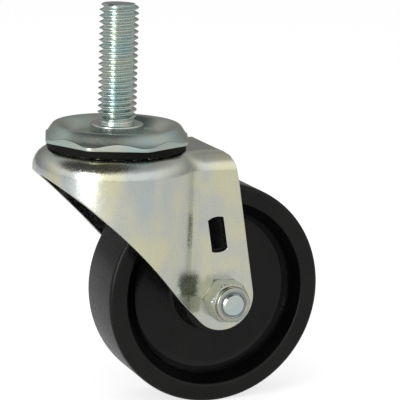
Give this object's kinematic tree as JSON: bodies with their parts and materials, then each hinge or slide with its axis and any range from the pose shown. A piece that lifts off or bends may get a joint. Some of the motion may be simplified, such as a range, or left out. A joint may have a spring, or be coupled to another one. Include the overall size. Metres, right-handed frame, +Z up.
{
  "type": "threaded stem swivel castor",
  "caption": "Swivel castor with a threaded stem, pressed steel fork on a double ball race and a hard black plastic wheel with recessed sides.",
  "frame": {"origin": "on the swivel axis at the stem's seat, which is the top face of its collar", "axes": "+Z up along the threaded stem, +X towards the trailing wheel, Y along the wheel axle with the lock nut on the -Y side"},
  "size_m": [0.0972, 0.0546, 0.1328],
  "materials": {
    "bright_zinc": "bright zinc plate",
    "fork_zinc": "zinc plate with a faint yellow cast",
    "ball_steel": "polished",
    "seal_rubber": "matt",
    "nylon": "satin",
    "wheel_black": "satin"
  },
  "bodies": {
    "stem": {"threaded_stem": "bright_zinc", "upper_race": "bright_zinc", "dust_seal": "seal_rubber", "lower_race": "fork_zinc"},
    "fork": {"fork": "fork_zinc", "axle_bolt": "bright_zinc", "lock_nut": "bright_zinc", "nylon_insert": "nylon", "axle_sleeve": "bright_zinc"},
    "wheel": {"wheel": "wheel_black"},
    "balls": {"upper_ball_01": "ball_steel", "upper_ball_02": "ball_steel", "upper_ball_03": "ball_steel", "upper_ball_04": "ball_steel", "upper_ball_05": "ball_steel", "upper_ball_06": "ball_steel", "upper_ball_07": "ball_steel", "upper_ball_08": "ball_steel", "upper_ball_09": "ball_steel", "upper_ball_10": "ball_steel", "upper_ball_11": "ball_steel", "upper_ball_12": "ball_steel", "upper_ball_13": "ball_steel", "upper_ball_14": "ball_steel", "upper_ball_15": "ball_steel", "upper_ball_16": "ball_steel", "upper_ball_17": "ball_steel", "upper_ball_18": "ball_steel", "upper_ball_19": "ball_steel", "upper_ball_20": "ball_steel", "lower_ball_01": "ball_steel", "lower_ball_02": "ball_steel", "lower_ball_03": "ball_steel", "lower_ball_04": "ball_steel", "lower_ball_05": "ball_steel", "lower_ball_06": "ball_steel", "lower_ball_07": "ball_steel", "lower_ball_08": "ball_steel", "lower_ball_09": "ball_steel", "lower_ball_10": "ball_steel", "lower_ball_11": "ball_steel", "lower_ball_12": "ball_steel", "lower_ball_13": "ball_steel"}
  },
  "joints": [
    {"name": "fork_swivel", "type": "hinge", "parent": "stem", "child": "fork", "pos_m": [0, 0, -0.008], "axis": [0, 0, 1], "continuous": true},
    {"name": "wheel_spin", "type": "hinge", "parent": "fork", "child": "wheel", "pos_m": [0.0324, 0, -0.0572], "axis": [0, 1, 0], "continuous": true},
    {"name": "balls_roll", "type": "hinge", "parent": "stem", "child": "balls", "pos_m": [0, 0, -0.0056], "axis": [0, 0, 1], "continuous": true}
  ],
  "couplings": [
    {"joint": "balls_roll", "follows": "fork_swivel", "ratio": 0.5}
  ]
}
